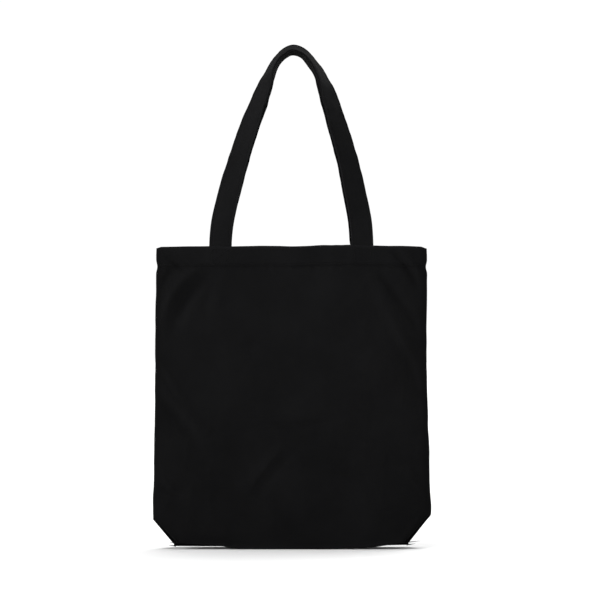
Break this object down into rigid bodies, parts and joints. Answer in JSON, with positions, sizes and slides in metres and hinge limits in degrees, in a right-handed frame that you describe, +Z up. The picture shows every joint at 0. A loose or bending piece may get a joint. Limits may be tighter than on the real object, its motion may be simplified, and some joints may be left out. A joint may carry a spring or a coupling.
{
  "type": "tote bag",
  "caption": "Flat canvas tote bag hanging from two strap handles, with a turned hem at the rim and a boxed bottom folded in at the corners.",
  "frame": {"origin": "the point where a hook carries the bag, under the two handle straps at the top of their loops", "axes": "+Z up, -Y out of the front wall, +X to the right of someone facing the front wall"},
  "size_m": [0.38, 0.056, 0.7048],
  "materials": {
    "bag_canvas": "matt black plain-weave cotton canvas",
    "strap_canvas": "matt black plain-weave cotton canvas, folded into a four-layer strap",
    "thread": "black polyester sewing thread, slight sheen",
    "overlock_thread": "black overlock thread, slight sheen"
  },
  "bodies": {
    "base": {"front_base_fold": "bag_canvas", "back_base_fold": "bag_canvas", "left_side_seam": "bag_canvas", "left_side_overlock": "overlock_thread", "left_corner_fold": "bag_canvas", "left_corner_seam": "bag_canvas", "right_side_seam": "bag_canvas", "right_side_overlock": "overlock_thread", "right_corner_fold": "bag_canvas", "right_corner_seam": "bag_canvas", "bottom_seam": "bag_canvas", "bottom_overlock": "overlock_thread"},
    "front_wall": {"front_panel": "bag_canvas", "front_hem_facing": "bag_canvas", "front_hem_thread": "thread", "front_handle_left_tail": "strap_canvas", "front_handle_right_tail": "strap_canvas", "front_left_box_stitch": "thread", "front_right_box_stitch": "thread"},
    "back_wall": {"back_panel": "bag_canvas", "back_hem_facing": "bag_canvas", "back_hem_thread": "thread", "back_handle_left_tail": "strap_canvas", "back_handle_right_tail": "strap_canvas", "back_left_box_stitch": "thread", "back_right_box_stitch": "thread"},
    "front_handle_loop": {"front_handle": "strap_canvas", "front_handle_outer_thread": "thread", "front_handle_inner_thread": "thread"},
    "back_handle_loop": {"back_handle": "strap_canvas", "back_handle_outer_thread": "thread", "back_handle_inner_thread": "thread"}
  },
  "joints": [
    {"name": "front_wall_open", "type": "hinge", "parent": "base", "child": "front_wall", "pos_m": [0, -0.016, -0.7023], "axis": [1, 0, 0], "range_deg": [0, 6]},
    {"name": "back_wall_open", "type": "hinge", "parent": "base", "child": "back_wall", "pos_m": [0, 0.016, -0.7023], "axis": [-1, 0, 0], "range_deg": [0, 6]},
    {"name": "front_handle_fold", "type": "hinge", "parent": "front_wall", "child": "front_handle_loop", "pos_m": [0, -0.0125, -0.2783], "axis": [1, 0, 0], "range_deg": [0, 165]},
    {"name": "back_handle_fold", "type": "hinge", "parent": "back_wall", "child": "back_handle_loop", "pos_m": [0, 0.0125, -0.2783], "axis": [-1, 0, 0], "range_deg": [0, 165]}
  ],
  "couplings": [
    {"joint": "back_wall_open", "follows": "front_wall_open", "ratio": 1}
  ]
}
